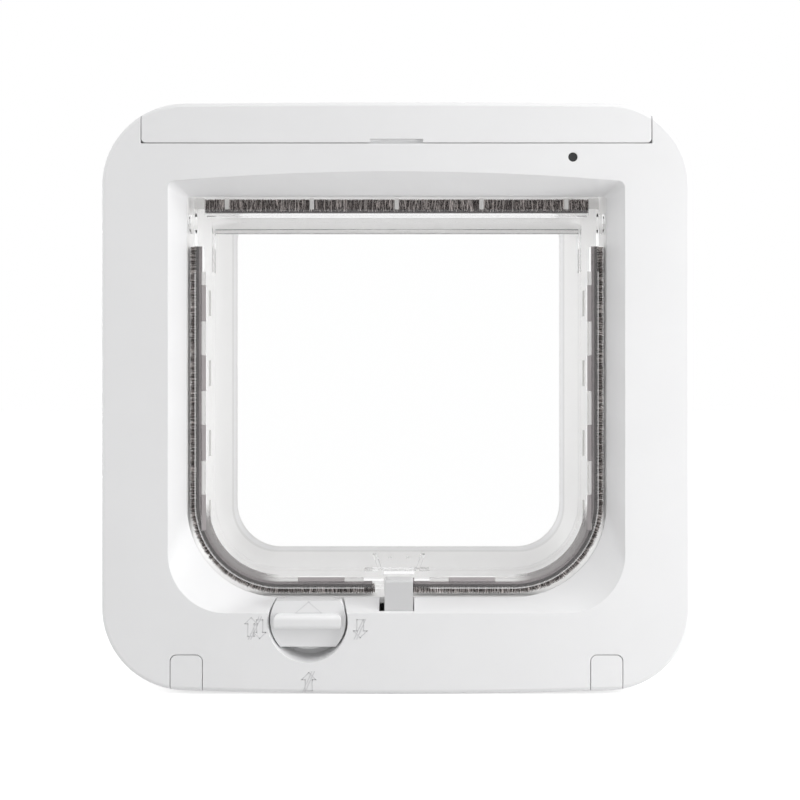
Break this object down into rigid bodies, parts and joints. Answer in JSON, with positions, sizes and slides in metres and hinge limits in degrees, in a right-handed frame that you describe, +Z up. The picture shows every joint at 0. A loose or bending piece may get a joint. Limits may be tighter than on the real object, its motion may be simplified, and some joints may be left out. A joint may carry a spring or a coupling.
{
  "type": "cat flap",
  "caption": "Cat flap with a clear hinged flap in a brush seal, a room-side frame with latch, rotary lock and battery cover, a door tunnel and an outer frame.",
  "frame": {"origin": "middle of the frames, in the plane of the door's inner face, which the back of the room-side frame seats on", "axes": "+X to the right and +Y into the door, both seen from the room; +Z up"},
  "size_m": [0.21, 0.1182, 0.2108],
  "materials": {
    "casing_white": "satin moulded white",
    "inner_white": "plain moulded white",
    "tunnel_white": "satin moulded white",
    "exterior_white": "satin moulded white",
    "bush_white": "smooth",
    "coil_copper": "enamelled wire",
    "clear_plastic": "clear polished",
    "pile_dark": "dense brushed pile",
    "latch_grey": "satin",
    "knob_white": "satin",
    "cam_white": "plain",
    "steel": "plain zinc",
    "nickel": "bright",
    "solenoid_black": "plain",
    "cell_jacket": "plain printed jacket with a pale end",
    "board_green": "lacquered board",
    "led_red": "tinted",
    "lens_dark": "dark window",
    "button_grey": "plain"
  },
  "bodies": {
    "frame": {"front_frame": "casing_white", "back_plate": "inner_white", "tunnel": "tunnel_white", "hinge_bush_left": "bush_white", "hinge_bush_right": "bush_white", "antenna_coil": "coil_copper", "tunnel_sleeve": "tunnel_white", "exterior_frame": "exterior_white", "latch_solenoid": "solenoid_black", "latch_spring": "steel", "battery_1": "cell_jacket", "battery_2": "cell_jacket", "battery_3": "cell_jacket", "battery_4": "cell_jacket", "battery_contacts": "nickel", "battery_springs": "nickel", "circuit_board": "board_green", "status_led": "led_red", "status_lens": "lens_dark", "button_switch": "solenoid_black", "mounting_screws": "steel"},
    "flap": {"flap_door": "clear_plastic", "edge_brush": "pile_dark", "top_brush": "pile_dark"},
    "latch": {"latch": "latch_grey", "latch_plunger": "steel"},
    "lock": {"lock_knob": "knob_white", "lock_cam": "cam_white", "lock_cam_screw": "steel"},
    "battery_cover": {"battery_cover": "casing_white"},
    "screw_cover_left": {"screw_cover_left": "casing_white"},
    "screw_cover_right": {"screw_cover_right": "casing_white"},
    "learn_button": {"learn_button": "button_grey"}
  },
  "joints": [
    {"name": "flap_swing", "type": "hinge", "parent": "frame", "child": "flap", "pos_m": [0, -0.02, 0.064], "axis": [1, 0, 0], "range_deg": [-85, 85]},
    {"name": "latch_lift", "type": "slide", "parent": "frame", "child": "latch", "axis": [0, 0, 1], "range_m": [0, 0.005], "stiffness_N_per_m": 20, "deforming": ["latch_spring"]},
    {"name": "lock_turn", "type": "hinge", "parent": "frame", "child": "lock", "pos_m": [-0.0316, -0.0266, -0.0796], "axis": [0, 1, 0], "continuous": true},
    {"name": "battery_cover_lift", "type": "slide", "parent": "frame", "child": "battery_cover", "axis": [0, -1, 0], "range_m": [0, 0.06]},
    {"name": "screw_cover_left_lift", "type": "slide", "parent": "frame", "child": "screw_cover_left", "axis": [0, -1, 0], "range_m": [0, 0.025]},
    {"name": "screw_cover_right_lift", "type": "slide", "parent": "frame", "child": "screw_cover_right", "axis": [0, -1, 0], "range_m": [0, 0.025]},
    {"name": "learn_button_press", "type": "slide", "parent": "frame", "child": "learn_button", "axis": [0, 1, 0], "range_m": [0, 0.001], "stiffness_N_per_m": 300}
  ]
}
